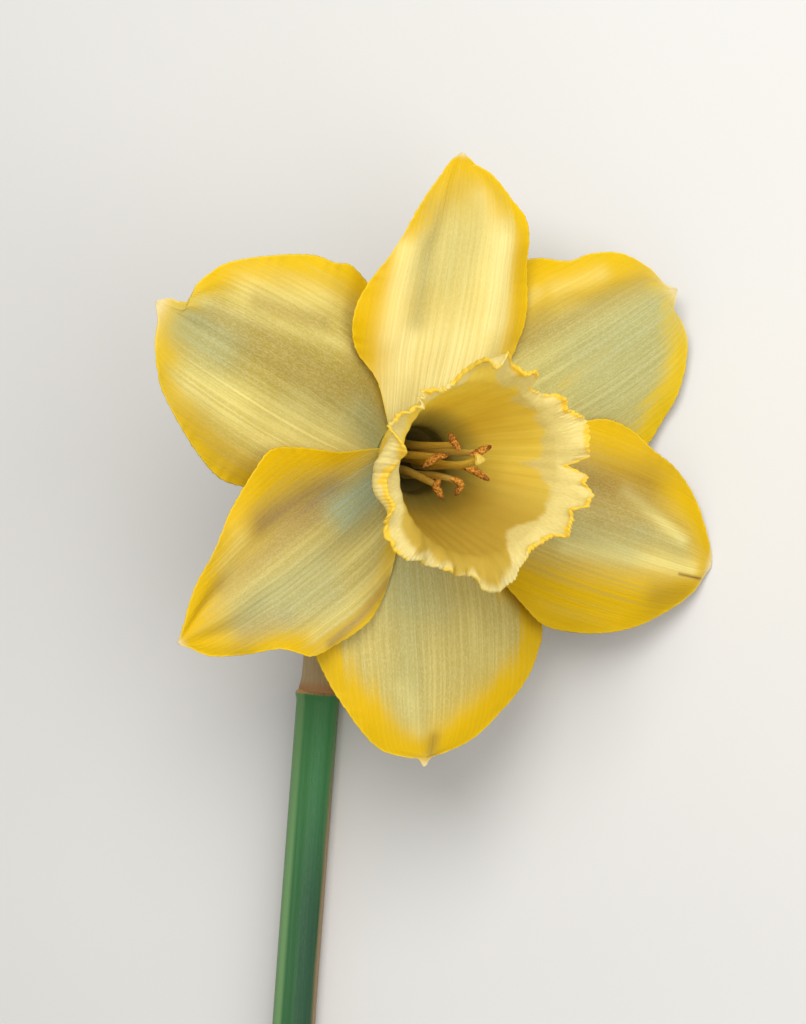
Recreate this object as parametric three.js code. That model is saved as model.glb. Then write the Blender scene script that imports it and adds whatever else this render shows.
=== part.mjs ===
// A picked daffodil, lying on a flat surface: six petals round a frilled trumpet, the stamens and
// style inside it, and behind it the floral tube, ovary, bent flower stalk, papery sheath and stem.
//
// Lengths are millimetres. The flower is built in its own frame: z runs out of the trumpet, y along
// the stem towards the flower, and x to the right of someone who looks into the trumpet. At the end
// the whole flower is rolled about its stem until it lies on the stem and one petal tip.

import * as THREE from 'three';

// ---- Driving dimensions ----

const BLADE = 0.7;               // thickness of a petal, the trumpet's wall and the sheath
const PETAL_ORIGIN = 8.55;       // distance from the axis where a petal's own lengths start
const PETAL_BASE = -1.55;        // its foot, by those lengths
const PETAL_BASE_HALF_WIDTH = 4.9;
const PETAL_TIP_HALF_WIDTH = 0.25;
const PETAL_LEAN = 9;            // degrees that the petals lean forward
const WHORL_STEP = 1.1;          // the inner three lie this far in front, the outer three behind
const CUP_REFERENCE = 18;        // half width at which a petal's cupping is given
const PETAL_ROOT = 14;           // cupping and folds grow in over this length from the base
const PETAL_POINT = 6;           // and die away over this length at the tip
const EDGE_SHIFT = 1.3;          // radians between the waves of a petal's two edges
const PETAL_ROWS = 18;
const PETAL_COLUMNS = 12;

const TRUMPET_BASE = 0.85;       // height of the trumpet's foot
const RUFFLE_START = 0.62;       // share of the trumpet's wall where the ruffles begin
const RUFFLE_DEPTH = 0.75;
const RUFFLE_COUNT = 14;
const TRUMPET_ROWS = 10;
const TRUMPET_COLUMNS = 72;

const TUBE_TOP = 0.3;
const TUBE_LENGTH = 20;          // from the petals back to the ovary
const TUBE_WALL = 0.8;
const OVARY_LENGTH = 10;
const OVARY_RADIUS = 3.8;
const SEAT = 0.3;                // gap between pieces that touch

const STEM_X = 2.7;              // the stem's line, beside and behind the trumpet's axis
const STEM_BACK = 40;
const STEM_TOP = -42.4;
const STEM_LENGTH = 190;
const STEM_WIDTH = 7.3;
const STEM_DEPTH = 6.2;
const STEM_BOW = 1.2;            // how far the middle of the stem rises between its ends
const STALK_RADIUS = 2.2;
const STEM_RIDGE = 0.25;         // height of the ridge down either side of the stem
const STEM_RING = 0.05;          // share by which the stem swells at its top
const SHEATH_LENGTH = 36;
const SHEATH_WRAP = 158;         // degrees that the sheath reaches either way round the stalk
const SHEATH_POINT = 6;          // and the degrees that are left of this at its point
const SHEATH_BACK = 215;         // direction of the sheath's middle
const SHEATH_FLARE = 0.9;        // how far its upper part stands off
const SHEATH_DRIFT_X = 1.6;      // and leans to the side and back
const SHEATH_DRIFT_Z = 0.6;

const FILAMENT_RADIUS = 0.75;
const STYLE_RADIUS = 0.6;
const STYLE_TOP = 23.6;
const ANTHER_RADIUS = 0.75;
const STIGMA_RADIUS = 0.45;      // added to the style's radius, and the height of its three lobes
const STIGMA_LOBE = 0.3;

const ROLL = 46.23;                 // degrees that the lying flower is rolled about its stem
const NOD = 0.05;                   // degrees that the stem is tipped, its far end down

// Each petal: its direction round the trumpet, its length, and its left and right edges from base to
// tip as [distance along the midrib, half width]. Then its form, all in millimetres of height:
// arch along its length, recurve of its tip, cupping across it, folds along it as [place from -1 at
// the right edge to 1 at the left, width, height], and the waves of its edge as [height, wavelength,
// phase].
const PETALS = {
  petal_top: {
    azimuth: 88.6, inner: true, length: 42.7,
    left: [[4.5, 9.5], [9, 13.8], [14, 15.4], [19, 14], [27, 9.6], [34.5, 6], [38.7, 3], [41.5, 1.2]],
    right: [[4, 10], [8, 14], [14, 15.6], [20.5, 15.6], [27, 14.4], [32.7, 13.5], [36, 10.3],
      [39.6, 6], [41, 3], [42, 1.4]],
    arch: 1.6, recurve: 0, cup: -0.6,
    folds: [[0.52, 0.2, 0.5], [0.12, 0.25, -0.7], [-0.6, 0.25, 1.2], [-1, 0.25, -0.85]],
    wave: [0.35, 13, 0],
  },
  petal_lower_left: {
    azimuth: -143.7, inner: true, length: 44.4,
    left: [[3.3, 10.5], [9.4, 15], [16.3, 16.5], [22.5, 16.2], [26.5, 15], [28.9, 12.4], [31, 10.4],
      [35.7, 8.2], [41, 4.8], [43.2, 1.7]],
    right: [[4, 10], [9.2, 14.3], [14.1, 17.2], [18, 16.8], [25, 13.5], [31.4, 10.4], [37.6, 6.4],
      [42.8, 1.6]],
    arch: 1.8, recurve: -1, cup: -0.4,
    folds: [[-1, 0.45, 1.4], [-0.36, 0.2, -1], [0.05, 0.18, 0.7], [0.42, 0.15, -0.3]], wave: [0.7, 15, 0.6],
  },
  petal_lower_right: {
    azimuth: -15.9, inner: true, length: 46.6,
    left: [[6, 8.5], [14.6, 14.2], [20.2, 17.2], [25.3, 17.1], [29.8, 15.1], [35.2, 13.4],
      [39.8, 10.1], [43.7, 5.4], [46.1, 1.8]],
    right: [[8, 11.9], [15, 15.8], [20.6, 18.6], [25.1, 18.6], [31.4, 16.9], [37.4, 13.6],
      [41.9, 9.3], [45, 5], [46, 1.8]],
    arch: 2, recurve: -1, cup: -1.6,
    folds: [[0.5, 0.12, 0.4], [0.18, 0.2, -0.7], [-0.1, 0.1, 0.4], [-0.5, 0.3, 1.4]], wave: [0.35, 15, 0],
  },
  sepal_upper_left: {
    azimuth: 154.9, inner: false, length: 46.4,
    left: [[4, 9.6], [11, 15.6], [19, 18.8], [24.2, 18.4], [31.8, 15.5], [38.4, 11.5], [43, 6.3],
      [44.7, 2.5]],
    right: [[4, 13], [11, 20.5], [17, 22.4], [20.5, 21.2], [24.7, 20.3], [32.4, 16], [38.7, 11.2],
      [41.5, 6], [41.4, 3.2], [42.8, 2], [44.6, 1.6]],
    arch: 1.5, recurve: -0.8, cup: -1.9,
    folds: [[-0.36, 0.13, 0.5], [-0.55, 0.1, -0.3], [0.25, 0.3, -0.8], [0, 0.06, -0.25]],
    wave: [0.3, 17, 1],
  },
  sepal_upper_right: {
    azimuth: 35.7, inner: false, length: 45.4,
    left: [[7, 8.5], [13, 13], [18.8, 16.6], [23, 18.2], [27, 17.2], [31.5, 14], [35.4, 13.1],
      [40, 10.3], [43, 5.6], [44, 1.8]],
    right: [[7, 11], [14.2, 16], [21, 20], [28, 21], [32.8, 18.8], [38.5, 14.6], [42.5, 9.5],
      [43.5, 5.2], [42.6, 3.4], [44, 1.8]],
    arch: 1, recurve: -0.5, cup: -2.4,
    folds: [[0.62, 0.15, 0.7], [0.38, 0.15, -0.5], [0, 0.08, -0.25]], wave: [0.35, 13, 2],
  },
  sepal_bottom: {
    azimuth: -85.8, inner: false, length: 42.2,
    left: [[5, 12], [11.3, 19.1], [16, 22.8], [20.5, 23.7], [24, 22.6], [29.4, 19.1], [34.9, 13.2],
      [38.2, 8.7], [40, 4], [40.8, 1.2]],
    right: [[6, 9.5], [12.7, 14.5], [19, 18.6], [22.9, 18.5], [29, 15.7], [35.6, 11.4],
      [39.2, 7.5], [40.6, 3], [40.9, 1.2]],
    arch: 1.6, recurve: -1.5, cup: -2.2,
    folds: [[0, 0.1, -0.35], [0.45, 0.3, 0.2]], wave: [0.2, 15, 0],
  },
};

// The trumpet's wall from its foot to its rim, as [height, radius]
const TRUMPET_WALL = [[TRUMPET_BASE, 5.9], [2.8, 7.6], [6, 9.2], [11, 10.8], [19, 12.7],
  [24.5, 14], [27.3, 15.4], [29, 17], [29.6, 18.3]];
// Where the rim stands out or is notched, as [degrees round it, change of radius, half width]
const TRUMPET_RIM = [[-148, 2.2, 9], [-178, 1.4, 10], [-82, 1.4, 9], [-12, 1.3, 8], [27, 0.9, 8],
  [122, -1.9, 8], [60, -2.2, 6], [3.5, -3.6, 4.5], [-42.5, -3, 6], [-95, -1.4, 5], [-118, -1.2, 6]];

// The floral tube's outside from the ovary to the petals, as [height, radius]
const TUBE_OUTSIDE = [[-TUBE_LENGTH, 3.1], [-14, 3.5], [-8, 4.4], [-3, 5.7], [-0.9, 6.45],
  [TUBE_TOP, 6.5]];

// Stamens: the direction of each one's foot, and its anther's line from its inner to its outer end
const STAMENS = [
  [102, [[0.2, 2.5, 16.8], [-0.5, 3.7, 16.2], [-1.3, 5.25, 15.5]]],
  [42, [[2.9, 1.8, 15], [4.4, 2.45, 15.3], [6.3, 3.55, 15.8]]],
  [-19, [[1.9, 0.1, 13], [3.9, -0.6, 14.4], [6.2, -2.1, 16.2]]],
  [-76, [[-1, -2, 16.4], [1, -2.8, 16.1], [0.7, -4.9, 15.4]]],
  [-136, [[-1.9, -2.2, 14.2], [-2, -3.7, 13.7], [-0.6, -5.6, 13.4]]],
  [160, [[-1.5, 1.6, 16], [-3.5, 1.05, 15.5], [-5.1, -0.7, 14.5]]],
];
const FILAMENT_HOLD = 0.35;      // share of the anther where its filament meets it
const FILAMENT_FOOT = -6;        // height where a filament leaves the tube's wall
const FILAMENT_FOOT_RADIUS = 2.75;

// ---- Surfaces ----

const radians = THREE.MathUtils.degToRad;
const ease = (x) => THREE.MathUtils.smoothstep(x, 0, 1);

// A smooth curve through the given points at share k of its length, as a cubic Hermite spline whose
// steps are the square roots of the distances between its points
function curveAt(points, k) {
  const step = [0];
  for (let i = 1; i < points.length; i += 1) {
    step.push(step[i - 1] + Math.sqrt(Math.hypot(...points[i].map((x, a) => x - points[i - 1][a]))));
  }
  const last = points.length - 1;
  const at = THREE.MathUtils.clamp(k, 0, 1) * step[last];
  let i = 0;
  while (i < last - 1 && step[i + 1] <= at) i += 1;
  const slope = (j) => {
    const [a, b] = [Math.max(j - 1, 0), Math.min(j + 1, last)];
    return points[j].map((x, axis) => (points[b][axis] - points[a][axis]) / (step[b] - step[a]));
  };
  const span = step[i + 1] - step[i];
  const q = (at - step[i]) / span;
  const [from, to] = [slope(i), slope(i + 1)];
  return points[i].map((x, a) => (1 + 2 * q) * (1 - q) ** 2 * x + q * (1 - q) ** 2 * span * from[a]
    + q * q * (3 - 2 * q) * points[i + 1][a] + q * q * (q - 1) * span * to[a]);
}

// A closed blade between a front and a back face, each a function of u and v from 0 to 1. Both faces
// are split into triangles alike. A ring's v runs all the way round.
function bladeGeometry(front, back, rows, columns, ring = false) {
  const across = ring ? columns : columns + 1;
  const points = [];
  for (const face of [front, back]) {
    for (let i = 0; i <= rows; i += 1) {
      for (let j = 0; j < across; j += 1) points.push(...face(i / rows, j / columns));
    }
  }
  const sheet = (rows + 1) * across;
  const index = [];
  const quad = (a, b, c, d) => index.push(a, b, c, a, c, d);
  const at = (i, j) => i * across + (j % across);
  for (let i = 0; i < rows; i += 1) {
    for (let j = 0; j < columns; j += 1) {
      const [a, b, c, d] = [at(i, j), at(i + 1, j), at(i + 1, j + 1), at(i, j + 1)];
      quad(a, b, c, d);
      index.push(a + sheet, c + sheet, b + sheet, a + sheet, d + sheet, c + sheet);
    }
  }
  for (let j = 0; j < columns; j += 1) {
    quad(at(0, j), at(0, j + 1), at(0, j + 1) + sheet, at(0, j) + sheet);
    quad(at(rows, j + 1), at(rows, j), at(rows, j) + sheet, at(rows, j + 1) + sheet);
  }
  for (let i = 0; i < rows && !ring; i += 1) {
    quad(at(i + 1, 0), at(i, 0), at(i, 0) + sheet, at(i + 1, 0) + sheet);
    quad(at(i, columns), at(i + 1, columns), at(i + 1, columns) + sheet, at(i, columns) + sheet);
  }
  const geometry = new THREE.BufferGeometry();
  geometry.setAttribute('position', new THREE.Float32BufferAttribute(points, 3));
  geometry.setIndex(index);
  return geometry;
}

// A closed rod along a path of [x, y, z] points. section(k, angle) gives its radius at share k of the
// path, and toward is the direction that angle 0 faces.
function rodGeometry(path, section, rings, sides, toward) {
  const points = [];
  const centre = (k) => new THREE.Vector3(...curveAt(path, k));
  const side = new THREE.Vector3();
  const up = new THREE.Vector3();
  for (let i = 0; i <= rings; i += 1) {
    const k = i / rings;
    const along = centre(Math.min(k + 0.01, 1)).sub(centre(Math.max(k - 0.01, 0))).normalize();
    up.crossVectors(along, toward).normalize();
    side.crossVectors(up, along);
    for (let j = 0; j < sides; j += 1) {
      const angle = (j / sides) * 2 * Math.PI;
      const radius = section(k, angle);
      const point = centre(k).addScaledVector(side, radius * Math.cos(angle))
        .addScaledVector(up, radius * Math.sin(angle));
      points.push(...point);
    }
  }
  points.push(...centre(0), ...centre(1));
  const index = [];
  const [foot, top] = [(rings + 1) * sides, (rings + 1) * sides + 1];
  for (let j = 0; j < sides; j += 1) {
    const next = (j + 1) % sides;
    index.push(foot, next, j, top, rings * sides + j, rings * sides + next);
    for (let i = 0; i < rings; i += 1) {
      const [a, b] = [i * sides + j, i * sides + next];
      index.push(a, b, b + sides, a, b + sides, a + sides);
    }
  }
  const geometry = new THREE.BufferGeometry();
  geometry.setAttribute('position', new THREE.Float32BufferAttribute(points, 3));
  geometry.setIndex(index);
  return geometry;
}

const AXIS_X = new THREE.Vector3(1, 0, 0);

// ---- Petals ----

// Height of a petal's middle surface at s along it and t across it, v being t's share of the width
function petalHeight(petal, s, t, v) {
  const share = s / petal.length;
  const rooted = ease(s / PETAL_ROOT);
  const short = ease((petal.length - s) / PETAL_POINT);
  let height = petal.arch * Math.sin(Math.PI * share) + petal.recurve * share ** 3;
  height += petal.cup * (t / CUP_REFERENCE) ** 2 * rooted;
  for (const [place, width, fold] of petal.folds) {
    height += fold * Math.exp(-(((v - place) / width) ** 2)) * rooted * short;
  }
  const [wave, wavelength, phase] = petal.wave;
  const turn = (2 * Math.PI * s) / wavelength + phase + (v > 0 ? EDGE_SHIFT : 0);
  return height + wave * v ** 4 * Math.sin(turn) * rooted * short;
}

// A point of a petal. Its foot follows the trumpet's round.
function petalPoint(petal, u, v, offset) {
  const base = [PETAL_BASE, PETAL_BASE_HALF_WIDTH];
  const tip = [petal.length, PETAL_TIP_HALF_WIDTH];
  const left = curveAt([base, ...petal.left, tip], u);
  const right = curveAt([base, ...petal.right, tip], u);
  const middle = (left[0] + right[0]) / 2;
  const edge = v > 0 ? left : right;
  const s = middle + (edge[0] - middle) * Math.abs(v);
  const t = edge[1] * v;
  const height = petalHeight(petal, s, t, v) + offset;
  const lean = radians(PETAL_LEAN);
  const inner = PETAL_ORIGIN + PETAL_BASE;
  const aside = Math.min(Math.abs(t), PETAL_BASE_HALF_WIDTH);
  const foot = inner - Math.sqrt(inner ** 2 - aside ** 2);
  const start = PETAL_ORIGIN - foot * (1 - ease((s - PETAL_BASE) / inner));
  const out = start + s * Math.cos(lean) - height * Math.sin(lean);
  const rise = s * Math.sin(lean) + height * Math.cos(lean);
  const azimuth = radians(petal.azimuth);
  return [
    out * Math.cos(azimuth) - t * Math.sin(azimuth),
    out * Math.sin(azimuth) + t * Math.cos(azimuth),
    rise + (petal.inner ? WHORL_STEP : -WHORL_STEP),
  ];
}

function petalGeometry(petal) {
  const face = (offset) => (u, v) => petalPoint(petal, u, 2 * v - 1, offset);
  return bladeGeometry(face(BLADE / 2), face(-BLADE / 2), PETAL_ROWS, PETAL_COLUMNS);
}

// ---- Trumpet and floral tube ----

// The trumpet's wall: a profile of revolution, whose upper part is thrown into ruffles
function trumpetPoint(m, angle, offset) {
  const [height, radius] = curveAt(TRUMPET_WALL, m);
  const [z0, r0] = curveAt(TRUMPET_WALL, m - 0.02);
  const [z1, r1] = curveAt(TRUMPET_WALL, m + 0.02);
  const slope = Math.hypot(z1 - z0, r1 - r0);
  const loose = ease((m - RUFFLE_START) / (1 - RUFFLE_START));
  let rim = 0;
  for (const [place, change, width] of TRUMPET_RIM) {
    const apart = Math.abs(THREE.MathUtils.euclideanModulo(THREE.MathUtils.radToDeg(angle)
      - place + 180, 360) - 180);
    rim += change * Math.exp(-((apart / width) ** 2));
  }
  const ruffle = RUFFLE_DEPTH * Math.sin(RUFFLE_COUNT * angle + 1.1 * Math.sin(3 * angle));
  const r = radius + loose * (0.7 * ruffle + rim * m ** 4) + (offset * (z1 - z0)) / slope;
  const z = height + loose * ruffle - (offset * (r1 - r0)) / slope;
  return [r * Math.cos(angle), r * Math.sin(angle), z];
}

function trumpetGeometry() {
  const face = (offset) => (u, v) => trumpetPoint(u, 2 * Math.PI * v, offset);
  return bladeGeometry(face(-BLADE / 2), face(BLADE / 2), TRUMPET_ROWS, TRUMPET_COLUMNS, true);
}

function tubeGeometry() {
  const face = (inset) => (u, v) => {
    const [z, radius] = curveAt(TUBE_OUTSIDE, u);
    const angle = 2 * Math.PI * v;
    return [(radius - inset) * Math.cos(angle), (radius - inset) * Math.sin(angle), z];
  };
  return bladeGeometry(face(TUBE_WALL), face(0), 8, 30, true);
}

// ---- Stamens and style ----

function around(degrees, radius, z) {
  return [radius * Math.cos(radians(degrees)), radius * Math.sin(radians(degrees)), z];
}

function filamentGeometry([direction, anther]) {
  const [x, y, z] = curveAt(anther, FILAMENT_HOLD);
  const [inner, , outer] = anther;
  const slope = Math.abs(outer[2] - inner[2]) / Math.hypot(outer[0] - inner[0], outer[1] - inner[1]);
  const top = z - SEAT - ANTHER_RADIUS * Math.hypot(1, slope) - FILAMENT_RADIUS * slope;
  const path = [around(direction, FILAMENT_FOOT_RADIUS, FILAMENT_FOOT), around(direction, 2.5, 0),
    [x * 0.85, y * 0.85, 9], [x, y, top]];
  return rodGeometry(path, (k) => FILAMENT_RADIUS * (1 - 0.25 * k), 6, 8, AXIS_X);
}

function antherGeometry([, line]) {
  const section = (k) => ANTHER_RADIUS * Math.sqrt(Math.max(Math.sin(Math.PI * (0.04 + 0.92 * k)), 0));
  return rodGeometry(line, section, 8, 8, new THREE.Vector3(0, 0, 1));
}

// The style ends in a stigma of three blunt lobes
function styleGeometry() {
  const foot = -TUBE_LENGTH + SEAT;
  const path = [[0, 0, foot], [0, 0, 12], [0, 0.4, 19], [0.2, 1.3, STYLE_TOP],
    [0.3, 1.6, STYLE_TOP + 1.3]];
  const section = (k, angle) => {
    const head = ease((k - 0.86) / 0.08) * (1 - 0.55 * ease((k - 0.95) / 0.05));
    return STYLE_RADIUS + head * (STIGMA_RADIUS + STIGMA_LOBE * Math.cos(3 * angle));
  };
  return rodGeometry(path, section, 18, 12, AXIS_X);
}

// ---- Behind the flower ----

function ovaryGeometry() {
  const top = -TUBE_LENGTH - SEAT;
  const path = [[0, 0, top - OVARY_LENGTH], [0, 0, top]];
  const section = (k, angle) => {
    const swell = Math.sin(Math.PI * (0.2 + 0.58 * k)) ** 0.8;
    return OVARY_RADIUS * swell * (1 + 0.07 * Math.cos(3 * angle));
  };
  return rodGeometry(path, section, 8, 18, AXIS_X);
}

// The flower stalk rises out of the sheath and bends forward to the ovary
function stalkGeometry() {
  const top = -TUBE_LENGTH - OVARY_LENGTH - 2 * SEAT;
  const path = [[STEM_X, STEM_TOP + SEAT, -STEM_BACK], [STEM_X, -20, -STEM_BACK],
    [STEM_X * 0.8, -9.5, -STEM_BACK + 0.5], [STEM_X * 0.3, -2.4, -STEM_BACK + 3.8],
    [0, 0, top - 2.2], [0, 0, top]];
  return rodGeometry(path, () => STALK_RADIUS, 14, 12, AXIS_X);
}

// The papery sheath wraps the stalk above the stem, opens on one side and ends in a free point
function sheathGeometry() {
  const face = (offset) => (u, v) => {
    const wrap = radians(SHEATH_WRAP) * (1 - u ** 2.2) + radians(SHEATH_POINT);
    const angle = radians(SHEATH_BACK) + (2 * v - 1) * wrap;
    const loose = ease((u - 0.35) / 0.65);
    const radius = STALK_RADIUS + SEAT + BLADE / 2 + SHEATH_FLARE * loose + offset;
    return [
      STEM_X + radius * Math.cos(angle) - SHEATH_DRIFT_X * loose,
      STEM_TOP + SEAT + u * SHEATH_LENGTH,
      -STEM_BACK + radius * Math.sin(angle) - SHEATH_DRIFT_Z * loose,
    ];
  };
  return bladeGeometry(face(BLADE / 2), face(-BLADE / 2), 10, 14);
}

// The stem: an oval with a ridge down either side, a slight bow, and a swollen ring at its top
function stemGeometry() {
  const end = STEM_TOP - STEM_LENGTH;
  const bow = (k) => STEM_BOW * Math.sin(Math.PI * k);
  const path = [0, 0.25, 0.5, 0.75, 1].map((k) => [STEM_X - bow(k) * Math.sin(radians(ROLL)),
    end + k * STEM_LENGTH, -STEM_BACK + bow(k) * Math.cos(radians(ROLL))]);
  const section = (k, angle) => {
    const [c, s] = [Math.cos(angle), Math.sin(angle)];
    const oval = 1 / Math.hypot(c / (STEM_WIDTH / 2), s / (STEM_DEPTH / 2));
    const ridge = STEM_RIDGE * Math.abs(c) ** 24;
    const ring = STEM_RING * ease((k - 0.985) / 0.01);
    return (oval + ridge) * (1 + ring);
  };
  return rodGeometry(path, section, 24, 20, AXIS_X);
}

// ---- Materials and assembly ----

const finish = (color, roughness) => new THREE.MeshStandardMaterial({ color, roughness, metalness: 0 });
const YELLOW = finish(0xe2c04a, 0.55);
const GOLD = finish(0xe6bd2e, 0.5);
const TUBE_GREEN = finish(0xa9b04a, 0.55);
const PALE_GOLD = finish(0xd9bb60, 0.5);
const POLLEN = finish(0xb5762c, 0.9);
const STEM_GREEN = finish(0x41684a, 0.5);
const PAPER_BROWN = finish(0x9c7f56, 0.75);

const daffodil = new THREE.Group();
const flower = new THREE.Group();
daffodil.add(flower);

function place(name, geometry, material) {
  const mesh = new THREE.Mesh(geometry, material);
  mesh.name = name;
  flower.add(mesh);
}

for (const [name, petal] of Object.entries(PETALS)) place(name, petalGeometry(petal), YELLOW);
place('trumpet', trumpetGeometry(), GOLD);
place('floral_tube', tubeGeometry(), TUBE_GREEN);
STAMENS.forEach((stamen, i) => {
  place(`filament_${i + 1}`, filamentGeometry(stamen), PALE_GOLD);
  place(`anther_${i + 1}`, antherGeometry(stamen), POLLEN);
});
place('style_and_stigma', styleGeometry(), GOLD);
place('ovary', ovaryGeometry(), STEM_GREEN);
place('flower_stalk', stalkGeometry(), STEM_GREEN);
place('spathe', sheathGeometry(), PAPER_BROWN);
place('stem', stemGeometry(), STEM_GREEN);

// Roll the flower over, and bring the middle of its underside to the origin
flower.rotation.set(radians(NOD), radians(ROLL), 0, 'XYZ');
const box = new THREE.Box3().setFromObject(flower, true);
const middle = box.getCenter(new THREE.Vector3());
flower.position.set(-middle.x, -middle.y, -box.min.z);

export default daffodil;
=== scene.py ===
"""A picked daffodil, dressed: petals, frilled trumpet, stamens, tube, stalk, sheath and stem.

The flower is worked out in its own millimetres: z runs out of the trumpet, y along the stem towards
the flower, and x to the right of someone who looks into the trumpet. lay() puts it in the frame.
"""

import math

import bpy
import numpy as np
from mathutils import Matrix


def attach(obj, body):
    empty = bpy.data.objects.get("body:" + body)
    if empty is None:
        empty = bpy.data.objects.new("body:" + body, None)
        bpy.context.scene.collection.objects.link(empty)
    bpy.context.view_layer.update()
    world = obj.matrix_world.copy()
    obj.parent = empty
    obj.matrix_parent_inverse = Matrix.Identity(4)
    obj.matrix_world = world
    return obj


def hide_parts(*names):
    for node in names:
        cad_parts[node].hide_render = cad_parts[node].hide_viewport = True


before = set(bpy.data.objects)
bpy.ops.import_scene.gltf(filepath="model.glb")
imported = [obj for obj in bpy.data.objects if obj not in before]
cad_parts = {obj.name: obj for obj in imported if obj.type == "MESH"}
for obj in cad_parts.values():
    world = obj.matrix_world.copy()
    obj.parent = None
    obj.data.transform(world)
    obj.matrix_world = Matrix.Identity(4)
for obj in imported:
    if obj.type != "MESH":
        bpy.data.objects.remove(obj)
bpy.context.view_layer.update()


# ---- Stem ----
# A solid green flower stem, cut square from the bulb. It grew as a slightly flattened rod with a
# ridge down either side, and swells to a brownish ring where the papery sheath joins it.

ROLL = math.radians(46.23)     # the picked flower is rolled about its stem to lie on a petal tip
NOD = math.radians(0.05)
LAY = np.array(Matrix.Rotation(NOD, 3, "X") @ Matrix.Rotation(ROLL, 3, "Y"))
TUBE_TOP = 0.3                 # height of the floral tube's mouth, mm

STEM_X, STEM_BACK = 2.7, 40    # the stem's line, beside and behind the trumpet's axis
STEM_TOP, STEM_LENGTH = -42.4, 190
STEM_WIDTH, STEM_DEPTH = 7.3, 6.2
STEM_BOW = 1.2                 # how far its middle rises between its ends
STEM_RIDGE = 0.3
CUT_DIMPLE = 0.35              # depth of the soft pith below the cut's rim


def flower_place():
    """Where the flower's own origin lies in the frame, mm: the floral tube is round about the
    trumpet's axis, so its middle, turned back by LAY, gives x and y, and its top gives z."""
    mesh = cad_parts["floral_tube"].data
    spots = np.empty(len(mesh.vertices) * 3)
    mesh.vertices.foreach_get("co", spots)
    own = spots.reshape(-1, 3) * 1000 @ LAY
    middle = (own.min(0) + own.max(0)) / 2
    return np.array([middle[0], middle[1], own[:, 2].max() - TUBE_TOP]) @ LAY.T


FLOWER_PLACE = flower_place()


def lay(points):
    """The flower's own millimetres to the frame's metres: turned by LAY, then moved into place."""
    return (points @ LAY.T + FLOWER_PLACE) / 1000


def ease(x):
    """0 below 0, 1 above 1, and the smooth cubic 3x^2 - 2x^3 between."""
    x = np.clip(x, 0, 1)
    return x * x * (3 - 2 * x)


def bell(x):
    """A hump of height 1 about 0: e to the minus x squared."""
    return np.exp(-x * x)


def curve(points, k):
    """A smooth line through points at shares k of its length: a cubic Hermite spline whose steps
    are the square roots of the distances between the points."""
    points = np.asarray(points, float)
    gaps = np.sqrt(np.linalg.norm(np.diff(points, axis=0), axis=1))
    step = np.concatenate([[0], np.cumsum(gaps)])
    last = len(points) - 1
    ahead = np.minimum(np.arange(last + 1) + 1, last)
    behind = np.maximum(np.arange(last + 1) - 1, 0)
    slope = (points[ahead] - points[behind]) / (step[ahead] - step[behind])[:, None]
    at = np.clip(k, 0, 1) * step[-1]
    i = np.clip(np.searchsorted(step, at, side="right") - 1, 0, last - 1)
    span = step[i + 1] - step[i]
    q = ((at - step[i]) / span)[..., None]
    span = span[..., None]
    return ((1 + 2 * q) * (1 - q) ** 2 * points[i] + q * (1 - q) ** 2 * span * slope[i]
            + q * q * (3 - 2 * q) * points[i + 1] + q * q * (q - 1) * span * slope[i + 1])


def solid(name, points, material, slot, nodes, looped=False, **marks):
    """A closed piece from a grid of points in the flower's millimetres, a closed ring to each row.
    The first and last ring are zipped shut from side to side, or looped joins them to each other.
    Marks are arrays that spread over the same grid, kept as attributes. Faces are turned outwards
    by the sign of the volume that they enclose."""
    rows, columns = points.shape[:2]
    index = np.arange(rows * columns).reshape(rows, columns)
    rings = np.vstack([index, index[:1]]) if looped else index
    turned = np.roll(rings, -1, axis=1)
    sides = [rings[:-1], turned[:-1], turned[1:], rings[1:]]
    faces = np.stack(sides, -1).reshape(-1, 4).tolist()
    if not looped:
        half = columns // 2
        for ring in (index[0, ::-1], index[-1]):
            faces += [[ring[0], ring[1], ring[-1]], [ring[half - 1], ring[half], ring[half + 1]]]
            near, far = ring[1:half], ring[:half:-1]
            faces += np.stack([near[:-1], near[1:], far[1:], far[:-1]], -1).tolist()
    spots = lay(points.reshape(-1, 3))
    corners = np.array([[f[0], f[1], f[2]] for f in faces] + [[f[0], f[2], f[-1]] for f in faces])
    a, b, c = (spots[corners[:, i]] - spots.mean(0) for i in range(3))
    if (a * np.cross(b, c)).sum() < 0:
        faces = [f[::-1] for f in faces]
    mesh = bpy.data.meshes.new(name)
    mesh.from_pydata(spots, [], faces)
    mesh.polygons.foreach_set("use_smooth", np.ones(len(faces), bool))
    for mark, values in marks.items():
        flat = np.broadcast_to(values, (rows, columns, 3)).reshape(-1)
        mesh.attributes.new(mark, "FLOAT_VECTOR", "POINT").data.foreach_set("vector", flat)
    mesh.materials.append(material)
    piece = bpy.data.objects.new(name, mesh)
    bpy.context.collection.objects.link(piece)
    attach(piece, "root")
    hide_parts(*nodes)


def round_angles(count):
    """Angles once round, evenly spaced."""
    return np.linspace(0, 2 * math.pi, count, endpoint=False)


def stacked(*values):
    """Values over one grid, side by side on the last axis of a single array."""
    return np.stack(np.broadcast_arrays(*values), -1)


def turned(radius, angle, height):
    """Points at a distance, direction and height about an axis."""
    return stacked(radius * np.cos(angle), radius * np.sin(angle), height)


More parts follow.
